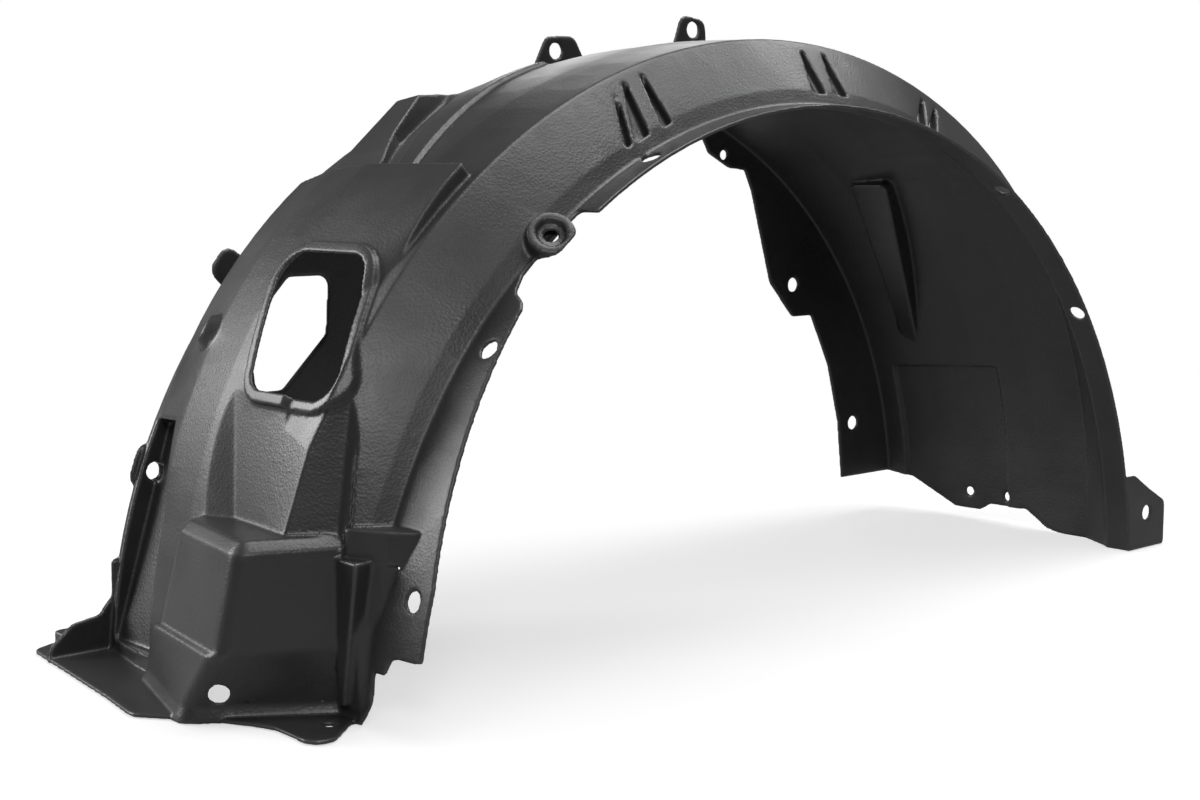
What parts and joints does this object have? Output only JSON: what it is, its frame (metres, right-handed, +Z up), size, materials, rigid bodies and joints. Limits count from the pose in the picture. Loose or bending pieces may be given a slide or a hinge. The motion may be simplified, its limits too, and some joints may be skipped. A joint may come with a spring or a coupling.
{
  "type": "wheel arch liner",
  "caption": "Moulded plastic wheel arch liner: arched shell with outboard lip, inboard flange, raised front panel with a window, boxed front foot with ground flap and fixing tabs.",
  "frame": {"origin": "on the ground under the middle of the length and width, as the liner stands on its front flap and rear foot", "axes": "+X along the car from the boxed front foot to the rear foot, +Y from the outboard lip to the inboard flange, +Z up"},
  "size_m": [0.828, 0.311, 0.3992],
  "materials": {
    "liner": "satin moulded grain"
  },
  "bodies": {
    "root": {"wheel_arch_liner": "liner"}
  },
  "joints": []
}
